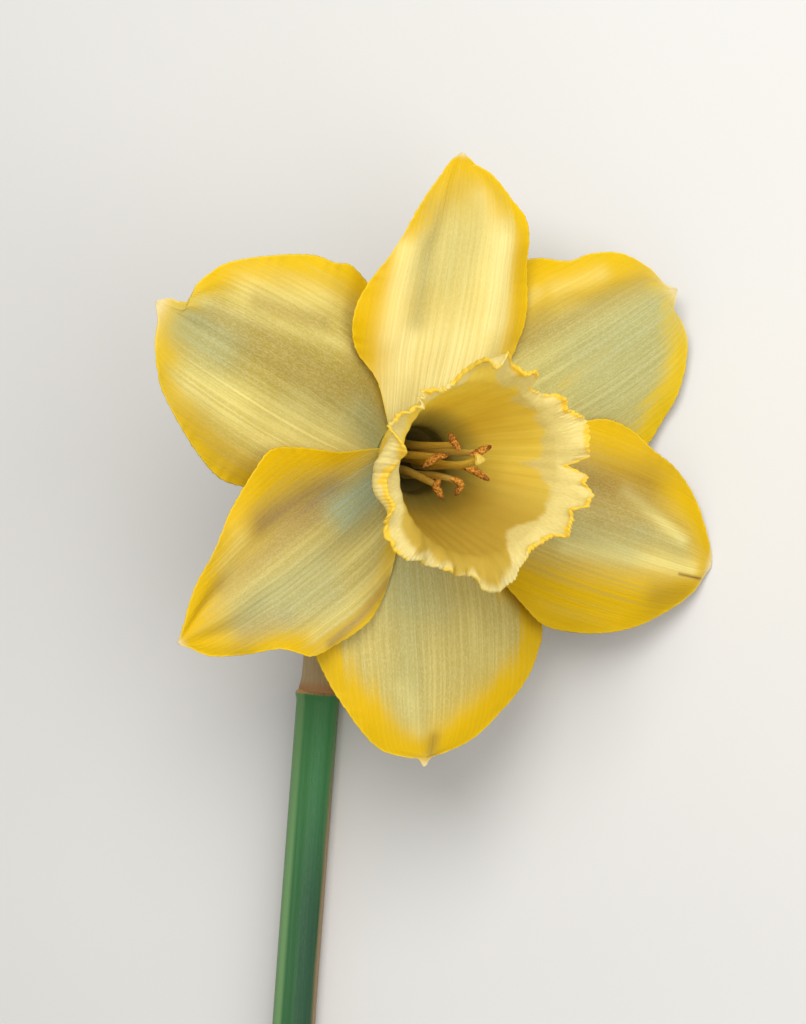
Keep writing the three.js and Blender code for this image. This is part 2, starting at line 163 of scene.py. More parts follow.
def rod(path, k, radius, toward=(1, 0, 0)):
    """Rings of a rod: at each share k of a smooth line through path, points radius (rows by
    columns) away in the plane across the line, the first on the side that faces toward."""
    along = curve(path, k + 0.01) - curve(path, k - 0.01)
    along /= np.linalg.norm(along, axis=1)[:, None]
    up = np.cross(along, toward)
    up /= np.linalg.norm(up, axis=1)[:, None]
    side = np.cross(up, along)
    angle = round_angles(radius.shape[1])
    across = np.cos(angle)[:, None] * side[:, None] + np.sin(angle)[:, None] * up[:, None]
    return curve(path, k)[:, None] + radius[..., None] * across


def add(tree, kind, inputs=(), **settings):
    """Adds a shader node. A socket given for an input is linked to it, a value is set on it."""
    made = tree.nodes.new("ShaderNode" + kind)
    for name, value in settings.items():
        setattr(made, name, value)
    for name, value in dict(inputs).items():
        if isinstance(value, bpy.types.NodeSocket):
            tree.links.new(value, made.inputs[name])
        else:
            made.inputs[name].default_value = value
    return made


def colour(red, green, blue):
    """A colour given as it looks on a screen, 0 to 255, as the linear values that nodes use."""
    shares = np.array([red, green, blue]) / 255
    linear = np.where(shares < 0.04045, shares / 12.92, ((shares + 0.055) / 1.055) ** 2.4)
    return (*linear.tolist(), 1.0)


def mixed(share, first, second, blend="MIX"):
    """The colour between first and second at a share, a socket."""
    return add(share.id_data, "Mix", {0: share, 6: first, 7: second}, data_type="RGBA",
               blend_type=blend).outputs[2]


def number(operation, first, second=0.0, clamp=False):
    """One sum on two values, at least one of them a socket."""
    socket = first if isinstance(first, bpy.types.NodeSocket) else second
    return add(socket.id_data, "Math", {0: first, 1: second}, operation=operation,
               use_clamp=clamp).outputs[0]


def ramp(value, low, high, start=0.0, end=1.0):
    """A socket's value carried smoothly from start at low to end at high."""
    return add(value.id_data, "MapRange", {0: value, 1: low, 2: high, 3: start, 4: end},
               interpolation_type="SMOOTHSTEP").outputs[0]


def ragged(value, noise, size):
    """The value plus a size times a noise, a socket."""
    return number("ADD", value, number("MULTIPLY", noise, size))


def part_of(vector):
    """The x, y and z of a vector, a socket."""
    return add(vector.id_data, "SeparateXYZ", {0: vector}).outputs


def mark_of(tree, name="marks"):
    """The piece's own mark of that name, a vector."""
    return add(tree, "Attribute", attribute_name=name).outputs["Vector"]


def layered(tone, *layers):
    """A colour with others laid over it in turn, each as (share, strength, red, green, blue)."""
    for share, strength, *tint in layers:
        tone = mixed(number("MULTIPLY", share, strength), tone, colour(*tint))
    return tone


def make_grain():
    """Plant fibre along a grain mark, whose z runs with the fibres and whose x and y run across
    them, in mm. Broad streaks, fine streaks, short strokes, glints of single cells, veins a
    millimetre apart and a soft drift all come out from 0 to 1. Height adds them up for a bump."""
    tree = bpy.data.node_groups.new("plant fibre", "ShaderNodeTree")
    for name, kind in (("Fibre", "Vector"), ("Across", "Float"), ("Along", "Float")):
        tree.interface.new_socket(name, in_out="INPUT", socket_type="NodeSocket" + kind)
    given = tree.nodes.new("NodeGroupInput").outputs
    size = add(tree, "CombineXYZ",
               {0: given["Across"], 1: given["Across"], 2: given["Along"]}).outputs[0]
    spot = add(tree, "VectorMath", {0: given["Fibre"], 1: size}, operation="MULTIPLY").outputs[0]
    found = {}
    for socket, vector, sizes, detail in (
            ("Broad", spot, (0.4, 0.4, 0.5), 2.0), ("Fine", spot, (2.3, 2.3, 1.8), 2.0),
            ("Strokes", given["Fibre"], (5.0, 5.0, 1.0), 1.0),
            ("Glints", given["Fibre"], (8.0, 8.0, 2.4), 0.0),
            ("Drift", given["Fibre"], (0.14, 0.14, 0.06), 1.0),
            ("Bend", given["Fibre"], (0.3, 0.3, 0.05), 0.0)):
        part = add(tree, "VectorMath", {0: vector, 1: sizes}, operation="MULTIPLY").outputs[0]
        noise = add(tree, "TexNoise", {"Vector": part, "Scale": 1.0, "Detail": detail,
                                       "Roughness": 0.55}).outputs[0]
        found[socket] = ramp(noise, 0.3, 0.7)
    across = number("MULTIPLY", part_of(spot)[0], 2 * math.pi)
    crest = number("SINE", ragged(across, found.pop("Bend"), 1.6))
    found["Veins"] = number("MULTIPLY", ramp(crest, 0.1, 1.0), found["Fine"])
    total = 0.0
    for socket, weight in zip(("Broad", "Fine", "Strokes", "Glints", "Veins"),
                              (0.2, 0.3, 0.2, 0.15, -0.4)):
        total = ragged(total, found[socket], weight)
    found["Height"] = total
    for socket in found:
        tree.interface.new_socket(socket, in_out="OUTPUT", socket_type="NodeSocketFloat")
    out = tree.nodes.new("NodeGroupOutput")
    for socket, value in found.items():
        tree.links.new(value, out.inputs[socket])
    return tree


FIBRE = make_grain()


def tissue(name, across, along, roughness, bump, glow=0.0):
    """A plant material: fibre grain on the piece's own grain mark, across and along it, a bump from
    it, mm, and light that passes through, by the share glow. Returns the material's tree, the
    fibre's outputs and a call that takes the colour and gives the material."""
    material = bpy.data.materials.new(name)
    material.use_nodes = True
    tree = material.node_tree
    tree.nodes.clear()
    fibre = add(tree, "Group", node_tree=FIBRE)
    tree.links.new(mark_of(tree, "grain"), fibre.inputs["Fibre"])
    fibre.inputs["Across"].default_value = across
    fibre.inputs["Along"].default_value = along
    relief = add(tree, "Bump", {"Height": fibre.outputs["Height"], "Strength": 1.0,
                                "Distance": bump / 1000}).outputs[0]

    def paint(tone, **own):
        """Feeds the colour to the shader, with the material's own values for its sockets."""
        matt = ramp(fibre.outputs["Strokes"], 0.0, 1.0, roughness + 0.08, roughness - 0.1)
        sockets = {"Base Color": tone, "Roughness": matt, "Normal": relief, **own}
        skin = add(tree, "BsdfPrincipled", sockets).outputs[0]
        if glow:
            lit = add(tree, "BsdfTranslucent", {"Color": tone, "Normal": relief}).outputs[0]
            skin = add(tree, "MixShader", {0: glow, 1: skin, 2: lit}).outputs[0]
        add(tree, "OutputMaterial", {"Surface": skin})
        return material

    return tree, fibre.outputs, paint


STEM_FACETS = 96
STEM_END = STEM_TOP - STEM_LENGTH


def stem_rings():
    """The stem: an oval with ridges |cos|^24 on its two flat sides and shallow flutes, its cut face
    sunk a little towards the middle, and a swollen ring at its very top. Its marks are (share of
    its radius, share of its length, side from -1 to 1)."""
    face = np.array([0.02, 0.3, 0.55, 0.75, 0.88, 0.95, 0.985])
    length = np.concatenate([np.linspace(0, 0.98, 120), np.linspace(0.981, 1, 24)])
    k = np.concatenate([face * 0, length, 1 + face * 0])
    full = np.concatenate([face, np.ones(len(length)), face[::-1]])
    angle = round_angles(STEM_FACETS)
    c, s = np.cos(angle), np.sin(angle)
    oval = 1 / np.hypot(c / (STEM_WIDTH / 2), s / (STEM_DEPTH / 2))
    flutes = STEM_RIDGE * np.abs(c) ** 24 + 0.05 * np.cos(9 * angle) + 0.03 * np.sin(14 * angle)
    ring = 0.07 * bell((k - 0.996) / 0.004) - 0.12 * ease((k - 0.997) / 0.003) ** 2
    bite = 1 - 0.03 * bell(k * STEM_LENGTH / 0.35)
    radius = (oval + flutes) * ((1 + ring) * bite * full)[:, None]
    bow = STEM_BOW * np.sin(math.pi * np.array([0, 0.25, 0.5, 0.75, 1]))
    path = np.stack([STEM_X - bow * math.sin(ROLL), STEM_END + np.linspace(0, STEM_LENGTH, 5),
                     -STEM_BACK + bow * math.cos(ROLL)], -1)
    points = rod(path, k, radius)
    points[:len(face), :, 1] += CUT_DIMPLE * (1 - face[:, None] ** 3)
    return points, {"grain": turned(radius, angle, points[..., 1]),
                    "marks": stacked(full[:, None], k[:, None], c)}


def stem_finish():
    """Blue-green skin with pale lengthwise lines, greener and lighter towards the top, a painted
    shade that darkens its lower length, painted light down one side with a painted highlight on
    that side's ridge, the other ridge brownish, a brown ring at the top, and pale, wet, pithy
    tissue on the cut."""
    tree, fibre, paint = tissue("stem skin", 1.6, 0.035, 0.46, 0.05)
    full, height, side = part_of(mark_of(tree))
    ridge = number("MULTIPLY", ramp(ragged(side, fibre["Fine"], 0.05), 0.6, 0.82),
                   ramp(height, 0.97, 0.85, 0.2, 0.85))
    belt = ramp(ragged(height, fibre["Fine"], 0.0008), 0.996, 0.999)
    tone = layered(colour(30, 70, 42), (fibre["Fine"], 0.5, 52, 96, 58),
                   (fibre["Broad"], 0.35, 36, 88, 54),
                   (ramp(height, 0.78, 0.98), 0.75, 64, 132, 72),
                   # Painted shade: darker down the stem's lower length.
                   (ramp(height, 0.92, 0.74), 0.4, 24, 54, 38),
                   # Painted light down one side of the stem, and a painted highlight on that side's
                   # ridge.
                   (ramp(side, -0.1, -0.8), 0.4, 66, 118, 64),
                   (ramp(side, -0.84, -0.95), 0.7, 118, 154, 100),
                   (ridge, 1.0, 140, 110, 72), (belt, 0.9, 204, 146, 86))
    pith = layered(colour(214, 224, 178), (ramp(full, 0.5, 0.85), 1.0, 150, 178, 108),
                   (fibre["Strokes"], 0.3, 190, 204, 140))
    cut = number("MULTIPLY", ramp(full, 0.99, 0.9), number("LESS_THAN", height, 0.5))
    return paint(mixed(cut, tone, pith), **{"Specular IOR Level": 0.3})


stem, stem_marks = stem_rings()
solid("stem_dressed", stem, stem_finish(), "stem", ["stem"], **stem_marks)


# ---- Flower stalk and sheath ----
# The short stalk of the flower rises out of the stem and bends forward to the ovary. The papery
# sheath that held the bud is dry and brown now: it wraps the stalk and ends in a loose point.

STALK_RADIUS, STALK_LENGTH, STALK_FACETS = 2.2, 58, 48
SEAT = 0.3                     # gap between pieces that touch
TUBE_LENGTH = 20
OVARY_LENGTH, OVARY_RADIUS = 10, 3.8
SHEATH_LENGTH, SHEATH_WALL, SHEATH_LOOP = 36, 0.4, 200
SHEATH_BACK = 215              # direction of the sheath's middle line round the stalk, degrees
SHEATH_WRAP, SHEATH_POINT = 158, 6  # its reach either way, and what is left at its tip


def fade_ends(k, share):
    """1 along a rod, falling as a quarter circle to nearly 0 within a share of its length at
    either end, so that it ends rounded."""
    near = np.clip(np.minimum(k, 1 - k) / share, 0.0004, 1)
    return np.sqrt(1 - (1 - near) ** 2)


def ends_dense(count, share=0.15):
    """Shares from 0 to 1, crowded towards both ends."""
    x = np.linspace(0, 1, count)
    return x * (1 - share) + share * (1 - np.cos(math.pi * x)) / 2


def green_skin(name, deep, light):
    """Smooth green tissue with fine lengthwise lines from its deep tone to its light one."""
    _, fibre, paint = tissue(name, 1.5, 0.05, 0.42, 0.04)
    tone = layered(colour(*deep), (fibre["Fine"], 0.6, *light), (fibre["Strokes"], 0.2, *light))
    return paint(tone, **{"Coat Weight": 0.05, "Coat Roughness": 0.35})


def stalk_rings():
    """The stalk: a round rod with faint ribs, along a line that bends through a right angle. Also
    gives its grain mark (across, across, along, mm)."""
    top = -TUBE_LENGTH - OVARY_LENGTH - 2 * SEAT
    path = [[STEM_X, STEM_TOP + SEAT, -STEM_BACK], [STEM_X, -20, -STEM_BACK],
            [STEM_X * 0.8, -9.5, -STEM_BACK + 0.5], [STEM_X * 0.3, -2.4, -STEM_BACK + 3.8],
            [0, 0, top - 2.2], [0, 0, top]]
    k = ends_dense(110)
    angle = round_angles(STALK_FACETS)
    ribs = 1 + 0.02 * np.cos(8 * angle) + 0.012 * np.sin(13 * angle)
    radius = STALK_RADIUS * ribs * fade_ends(k, 0.01)[:, None]
    return rod(path, k, radius), turned(STALK_RADIUS, angle, STALK_LENGTH * k[:, None])


stalk, stalk_grain = stalk_rings()
solid("stalk_dressed", stalk, green_skin("stalk skin", (88, 122, 56), (142, 166, 84)),
      "flower_stalk", ["flower_stalk"], grain=stalk_grain)


def blade_shares(columns, crowd=0.5):
    """Across a flat blade and back: from -1 to 1 on its front and home again on its back, crowded
    towards the edges, with the blade's half thickness there, 1 in the middle and 0 at the edges."""
    x = np.linspace(0, 2, columns, endpoint=False)
    front = np.minimum(x, 2 - x)
    v = (1 - crowd) * (2 * front - 1) - crowd * np.cos(math.pi * front)
    side = np.where(x < 1, 1.0, -1.0)
    side[0] = side[columns // 2] = 0
    return v, side


def sheath_rings():
    """The sheath: a thin blade bent round the stalk, whose reach either way falls as 1 - u^2.2 to a
    point, with lengthwise pleats and a crumpled free edge."""
    v, side = blade_shares(SHEATH_LOOP, 0.3)
    u = np.concatenate([np.linspace(0, 0.9, 80), np.linspace(0.91, 1, 16)])[:, None]
    wrap = math.radians(SHEATH_WRAP) * (1 - u ** 2.2) + math.radians(SHEATH_POINT)
    angle = math.radians(SHEATH_BACK) + v * wrap
    loose = ease((u - 0.35) / 0.65)
    pleats = 0.1 * np.sin(23 * v + 2 * np.sin(3 * v) + 1.5 * u) * ease(u / 0.1)
    crumple = 0.45 * np.sin(9 * u + 5 * v) * np.abs(v) + 0.2 * np.sin(31 * u - 7 * v)
    thin = SHEATH_WALL / 2 * side * (1 - 0.6 * np.abs(v) ** 6)
    radius = STALK_RADIUS + SEAT + 0.35 + (0.9 + crumple) * loose + pleats + thin
    radius *= 1 + 0.16 * bell(u / 0.05)
    x = STEM_X + radius * np.cos(angle) - 1.6 * loose
    z = -STEM_BACK + radius * np.sin(angle) - 0.6 * loose
    y = STEM_TOP - SEAT + u * SHEATH_LENGTH + 0.5 * loose * np.sin(17 * v)
    return stacked(x, y, z), stacked(3 * v * wrap, side, u * SHEATH_LENGTH)


def paper():
    """Dry membrane: pale brown with darker veins and flecks, browner at its foot, and light coming
    through."""
    tree, fibre, paint = tissue("dry sheath", 1.3, 0.06, 0.62, 0.08, 0.3)
    foot = ramp(part_of(mark_of(tree, "grain"))[2], 2.4, 0.6)
    return paint(layered(colour(198, 170, 120), (fibre["Broad"], 1.0, 216, 190, 140),
                         (fibre["Fine"], 0.35, 156, 126, 84),
                         (fibre["Strokes"], 0.25, 184, 166, 118), (foot, 0.8, 196, 138, 82)))


sheath, sheath_grain = sheath_rings()
solid("sheath_dressed", sheath, paper(), "spathe", ["spathe"], grain=sheath_grain)


# ---- Ovary and floral tube ----
# Behind the petals the flower narrows to a green tube, which runs back to the ovary, a plump
# three-sided seed case. Both grew in one with the flower, as firm smooth tissue.

TUBE_WALL, TUBE_LOOP = 0.8, 120
TUBE_OUTSIDE = [[-TUBE_LENGTH, 3.1], [-14, 3.5], [-8, 4.4], [-3, 5.7], [-0.9, 6.45],
                [TUBE_TOP, 6.5]]


def ovary_rings():
    """The ovary: a rod whose radius follows a sine hump, made slightly three-sided by cos 3a, with
    a groove down each side."""
    k = np.linspace(0, 1, 60)
    angle = round_angles(72)
    top = -TUBE_LENGTH - SEAT
    swell = np.sin(math.pi * (0.2 + 0.58 * k)) ** 0.8 * fade_ends(k, 0.05)
    shape = 1 + 0.07 * np.cos(3 * angle) - 0.03 * np.abs(np.cos(1.5 * angle + math.pi / 2)) ** 12
    radius = OVARY_RADIUS * swell[:, None] * shape
    return rod([[0, 0, top - OVARY_LENGTH], [0, 0, top]], k, radius)


ovary = ovary_rings()
solid("ovary_dressed", ovary, green_skin("ovary skin", (62, 104, 50), (104, 140, 66)), "ovary",
      ["ovary"], grain=ovary)


def tube_rings():
    """The floral tube: up its inside, over the lip and down its outside, whose profile is [height,
    radius], turned about the axis, with six soft ribs that fade upwards. Its marks are 1 inside."""
    x = np.linspace(0, 2, TUBE_LOOP, endpoint=False)
    height, radius = np.moveaxis(curve(TUBE_OUTSIDE, np.minimum(x, 2 - x)), -1, 0)
    inner = np.where(x < 1, 1.0, 0.0)
    inside = inner.copy()
    inner[0] = inner[TUBE_LOOP // 2] = 0.5
    angle = round_angles(TUBE_LOOP)[:, None]
    radius = (radius - TUBE_WALL * inner) * (1 + 0.02 * np.cos(6 * angle) * ease(-height / 12))
    return turned(radius, angle, height), inside[:, None]


def tube_finish():
    """Green by the ovary, yellow-green and then pale yellow where it opens into the petals, and a
    dark olive inside that is painted shade down the narrow tube."""
    tree, fibre, paint = tissue("tube skin", 1.4, 0.06, 0.44, 0.05)
    height, inside = part_of(mark_of(tree, "grain"))[2], part_of(mark_of(tree))[0]
    # The dark olive of the inside is painted shade.
    return paint(layered(colour(96, 130, 58), (ramp(height, -19.0, -6.0), 1.0, 176, 176, 88),
                         (ramp(height, -5.0, 0.5), 1.0, 176, 168, 84),
                         (fibre["Fine"], 0.4, 128, 146, 66), (inside, 1.0, 116, 104, 54)))


tube, tube_marks = tube_rings()
solid("tube_dressed", tube, tube_finish(), "floral_tube", ["floral_tube"], looped=True, grain=tube,
      marks=tube_marks)


# ---- Petals ----
# Six thin, soft petals grow from the tube's mouth, three in front and three behind them. Each is
# cream to grey-green inside a deep-yellow margin, ribbed by fine veins, with its own folds and tip,
# and strokes of painted highlight, painted shade and painted blue-grey sheen.

PETAL_ORIGIN = 8.55            # distance from the axis where a petal's own lengths start
PETAL_BASE = -2.3              # its foot, by those lengths, grown into the trumpet's root
PETAL_BASE_HALF_WIDTH = 4.9
PETAL_TIP_HALF_WIDTH = 0.25
PETAL_LEAN = math.radians(9)
WHORL_STEP = 1.1
PETAL_WALL = 0.5
PETAL_ROWS, PETAL_COLUMNS = 150, 240

# Each petal: its direction round the trumpet, length, arch, recurve of its tip, cupping, and the
# waves of its edge as [height, wavelength, phase]; its left and right edge from base to tip as
# [distance along, half width]; and folds as [place from -1 right to 1 left, width, height], mm.
# Then its colours: margin, centre, the width of the margin and of the pale tip, the strength of its
# veins, and soft strokes, as (from along, across, to along, across, half width, strength), mm. The
# strokes are deep gold; pale cream at the foot with painted highlights along ridges and bright
# bands; painted shade in valleys, under the trumpet and in a slit; and a painted blue-grey sheen
# and shade. Its own tone for a stroke takes the place of the common one below.
PETALS = {}
# The margin and centre tones differ from petal to petal partly as painted light: those of the top
# petal, which faces the light, are the lightest.
PETALS["petal_top"] = dict(
    azimuth=88.6, inner=True, length=42.7, arch=1.6, recurve=0, cup=-0.6, wave=[0.35, 13, 0],
    left=[[4.5, 9.5], [9, 13.8], [14, 15.4], [19, 14], [27, 9.6], [34.5, 6], [38.7, 3.6],
          [41.2, 2]],
    right=[[4, 10], [8, 14], [14, 15.6], [20.5, 15.6], [27, 14.4], [32.7, 13.5], [36, 10.3],
           [39.6, 6], [40.9, 3.2], [41, 2.6], [41.8, 1.6]],
    folds=[[0.52, 0.2, 0.4], [0.14, 0.28, -0.4], [-0.6, 0.25, 1], [-1, 0.25, -0.85]],
    margin=(236, 198, 6), centre=(238, 218, 124), wide=3.2, tip=0.6, veins=0.22,
    gold=[(3, 12.5, 16, 14, 6, 1), (19, 13, 36, 5, 2.6, 0.8), (12, -15, 29, -13, 2.6, 1),
          (37, 0, 42, 0, 4.2, 0.9), (34, -7, 38, -4, 2, 0.6)],
    pale_and_painted_highlight=[(0, 1, 9, -4, 5.5, 0.9), (2, 6, 11, 5, 3, 1), (16, -9, 29, -8.5, 2, 0.8),
          (12, 8, 26, 8, 2, 0.6), (32, -7, 36, -4, 1.5, 0.3)],
    painted_shade=[(33, 4, 15, 3.6, 2, 0.35)],
    painted_sheen_and_shade=[(24, 1, 33, -1, 4.5, 0.3), (15, 4, 28, 5, 1.6, 0.25)],
    pale_and_painted_highlight_tone=(254, 242, 170), painted_shade_tone=(178, 152, 66))
PETALS["petal_lower_left"] = dict(
    azimuth=-143.7, inner=True, length=44.4, arch=1.8, recurve=-1, cup=-0.4, wave=[0.7, 15, 0.6],
    left=[[3.3, 10.5], [9.4, 15], [16.3, 16.5], [22.5, 16.2], [26.5, 15], [28.9, 12.4],
          [31, 10.4], [35.7, 8.2], [41, 4.8], [43.2, 1.7]],
    right=[[4, 10], [9.2, 14.3], [14.1, 17.2], [18, 16.8], [25, 13.5], [31.4, 10.4], [37.6, 6.4],
           [42.8, 1.6]],
    folds=[[-1, 0.45, 1.4], [-0.36, 0.2, -1], [0.05, 0.18, 0.7], [0.42, 0.15, -0.3]],
    margin=(224, 186, 22), centre=(200, 184, 104), wide=2.8, tip=0.8, veins=0.25,
    gold=[(3, -12.8, 22, -14.8, 7, 1), (24, -10, 42, -2, 3.6, 0.9), (38, 3, 44, 0, 3.4, 0.8),
          (26, 12, 36, 8, 2.4, 0.6)],
    pale_and_painted_highlight=[(4, 6, 27, 3.5, 1.7, 0.5), (5, 11.5, 24, 12.5, 1.5, 0.4), (27, -8, 31, -6, 2.2, 0.5)],
    painted_shade=[(8, -4.6, 22, -8.4, 2.4, 0.8), (13, -3.5, 33, -3.5, 1.5, 0.45),
           (27, 6.5, 34, 5, 1.8, 0.4), (6, 13.4, 22, 15.6, 0.8, 0.6)],
    painted_sheen_and_shade=[(-2, -1, 8, -1, 3, 1), (17, 4, 33, 2, 3.2, 0.35), (18, 9, 26, 7, 2.5, 0.25)],
    painted_shade_tone=(166, 138, 88), painted_sheen_and_shade_tone=(172, 184, 150))
PETALS["petal_lower_right"] = dict(
    azimuth=-15.9, inner=True, length=46.6, arch=2, recurve=-1, cup=-1.6, wave=[0.35, 15, 0],
    left=[[6, 8.5], [14.6, 14.2], [20.2, 17.2], [25.3, 17.1], [29.8, 15.1], [35.2, 13.4],
          [39.8, 10.1], [43.7, 5.4], [46.1, 1.8]],
    right=[[8, 11.9], [15, 15.8], [20.6, 18.6], [25.1, 18.6], [31.4, 16.9], [37.4, 13.6],
           [41.9, 9.3], [45, 5], [46, 1.8]],
    folds=[[0.5, 0.12, 0.4], [0.18, 0.2, -0.7], [-0.1, 0.1, 0.4], [-0.5, 0.3, 1.4]],
    margin=(212, 174, 26), centre=(198, 180, 106), wide=3.6, tip=0.9, veins=0.22,
    gold=[(14, -15, 42, -8, 6.5, 1), (22, 14, 42, 7, 4.6, 0.9), (17, 14, 24, 11, 4, 0.5)],
    pale_and_painted_highlight=[(27, 6.8, 40, 2.6, 0.9, 0.9), (20, -5, 43, -1.6, 1.3, 0.8)],
    painted_shade=[(18, 6, 30, 9, 4, 0.6), (25, 1, 33, 1.4, 1.8, 0.3), (38, -7.5, 43, -6, 2, 0.4),
           (41.1, -3.1, 46, -2.5, 0.22, 1)],
    painted_sheen_and_shade=[(18, -3, 30, -2, 3, 0.5), (32, 1.2, 40, 0.8, 1.6, 0.45)],
    painted_shade_tone=(152, 116, 50))
PETALS["sepal_upper_left"] = dict(
    azimuth=154.9, inner=False, length=46.4, arch=1.5, recurve=-0.8, cup=-1.9, wave=[0.3, 17, 1],
    left=[[4, 9.6], [11, 15.6], [19, 18.8], [24.2, 18.4], [31.8, 15.5], [38.4, 11.5], [43, 6.3],
          [44.7, 2.5]],
    right=[[4, 13], [11, 20.5], [17, 22.4], [20.5, 21.2], [24.7, 20.3], [32.4, 16], [38.7, 11.2],
           [41.5, 6], [41.4, 3.2], [42.8, 2], [44.6, 1.6]],
    folds=[[-0.36, 0.13, 0.5], [-0.55, 0.1, -0.3], [0.25, 0.3, -0.8], [0, 0.06, -0.25]],
    margin=(232, 196, 22), centre=(202, 184, 90), wide=3.4, tip=1.9, veins=0.2,
    gold=[(40, 4, 45, 1, 2.4, 0.8), (14, 17, 32, 14, 3, 0.6), (14, -20, 40, -9, 3, 0.7)],
    pale_and_painted_highlight=[(0, 2.5, 13, 4.6, 3.4, 1), (12, 9, 34, 8, 3.2, 0.65), (33, -9, 20, -14, 3, 0.6),
          (14, 4, 31, 6, 1.3, 0.6), (39, -3.4, 12, -10.5, 1, 0.45)],
    painted_shade=[(2, -5, 36, -1.2, 4, 0.5), (31, -8.5, 18, -11.5, 1.4, 0.45), (8, 19, 40, 11, 2.6, 0.3),
           (40, -1, 36, -1, 1.2, 0.4)],
    painted_sheen_and_shade=[(33, 1, 40, 1, 3.4, 0.8), (-1, 0, 4, -2, 2.6, 0.8), (6, 0, 16, 2, 3, 0.25)])
PETALS["sepal_upper_right"] = dict(
    azimuth=35.7, inner=False, length=45.4, arch=1, recurve=-0.5, cup=-2.4, wave=[0.35, 13, 2],
    left=[[7, 8.5], [13, 13], [18.8, 16.6], [23, 18.2], [27, 17.2], [31.5, 14], [35.4, 13.1],
          [40, 10.3], [43, 5.6], [44, 1.8]],
    right=[[7, 11], [14.2, 16], [21, 20], [28, 21], [32.8, 18.8], [38.5, 14.6], [42.5, 9.5],
           [43.5, 5.2], [42.6, 3.4], [44, 1.8]],
    folds=[[0.62, 0.17, 0.55], [0.38, 0.17, -0.35], [0, 0.08, -0.15]],
    margin=(232, 198, 20), centre=(196, 188, 112), wide=4.6, tip=1.6, veins=0.32,
    gold=[(12, 13, 26, 15, 5, 1), (24, 14, 41, 6, 3.6, 1), (16, -14, 22, -16, 3, 0.4),
          (20, -3, 29, -2.5, 0.8, 0.35)],
    pale_and_painted_highlight=[(16, 12, 24, 12.5, 1, 0.4), (27, 11.5, 35, 9.5, 1.3, 0.4)],
    painted_shade=[(14, 7, 40, 3.8, 1.7, 0.35), (8, 8, 22, 9, 2.4, 0.3)],
    painted_sheen_and_shade=[(27, -2, 40, -1, 5, 0.7), (25, -10, 33, -9, 4, 0.4)])
PETALS["sepal_bottom"] = dict(
    azimuth=-85.8, inner=False, length=42.2, arch=1.6, recurve=-1.5, cup=-2.2, wave=[0.2, 15, 0],
    left=[[5, 12], [11.3, 19.1], [16, 22.8], [20.5, 23.7], [24, 22.6], [29.4, 19.1], [34.9, 13.2],
          [38.2, 8.7], [40, 4], [40.8, 1.2]],
    right=[[6, 9.5], [12.7, 14.5], [19, 18.6], [22.9, 18.5], [29, 15.7], [35.6, 11.4],
           [39.2, 7.5], [40.6, 3], [40.9, 1.2]],
    folds=[[0, 0.1, -0.18], [0.45, 0.3, 0.2]],
    margin=(222, 184, 22), centre=(204, 186, 104), wide=5.2, tip=1.1, veins=0.4,
    gold=[(31, 15, 39.5, 3, 3.6, 1), (33, -12, 39.5, -3, 3.2, 1), (39.5, 3, 41, -2, 2.4, 0.8)],
    pale_and_painted_highlight=[(29, -4, 36, -1, 1.4, 0.5), (19, 9, 24, 12, 2.5, 0.25), (13, -8, 17, -9, 2, 0.3)],
    painted_shade=[(37.6, 1.6, 40, 1, 0.9, 0.6), (34, -1, 39, 1, 1.5, 0.2)],
    painted_sheen_and_shade=[(4, -6, 14, -3, 4, 0.8), (8, 2, 16, 3, 3, 0.35), (22, -3, 33, -3, 2.6, 0.4)])
# Common tones of the strokes: deep gold, pale cream that also serves as painted highlight, painted
# shade, and painted blue-grey sheen and shade.
STROKE_TONES = {"gold": (226, 186, 4), "pale_and_painted_highlight": (242, 228, 142), "painted_shade": (158, 128, 56),
           "painted_sheen_and_shade": (188, 188, 134)}


def stroked(s, t, strokes):
    """How far soft strokes cover the points (s, t), 0 to 1: each is a bell of the distance from its
    line over its half width, and overlapping strokes build up."""
    bare = np.ones(s.shape)
    for s0, t0, s1, t1, half, strength in strokes:
        run = np.array([s1 - s0, t1 - t0])
        share = np.clip(((s - s0) * run[0] + (t - t0) * run[1]) / (run @ run), 0, 1)
        away = np.hypot(s - s0 - share * run[0], t - t0 - share * run[1])
        bare *= 1 - strength * bell(away / half / 1.2)
    return 1 - bare


def ribs(x):
    """Ribs along the veins, over the distance x across them, mm: two sines whose spacing drifts."""
    return (0.6 * np.sin(5.8 * x + 1.4 * np.sin(0.8 * x))
            + 0.4 * np.sin(9.4 * x + 2 * np.sin(0.5 * x)))


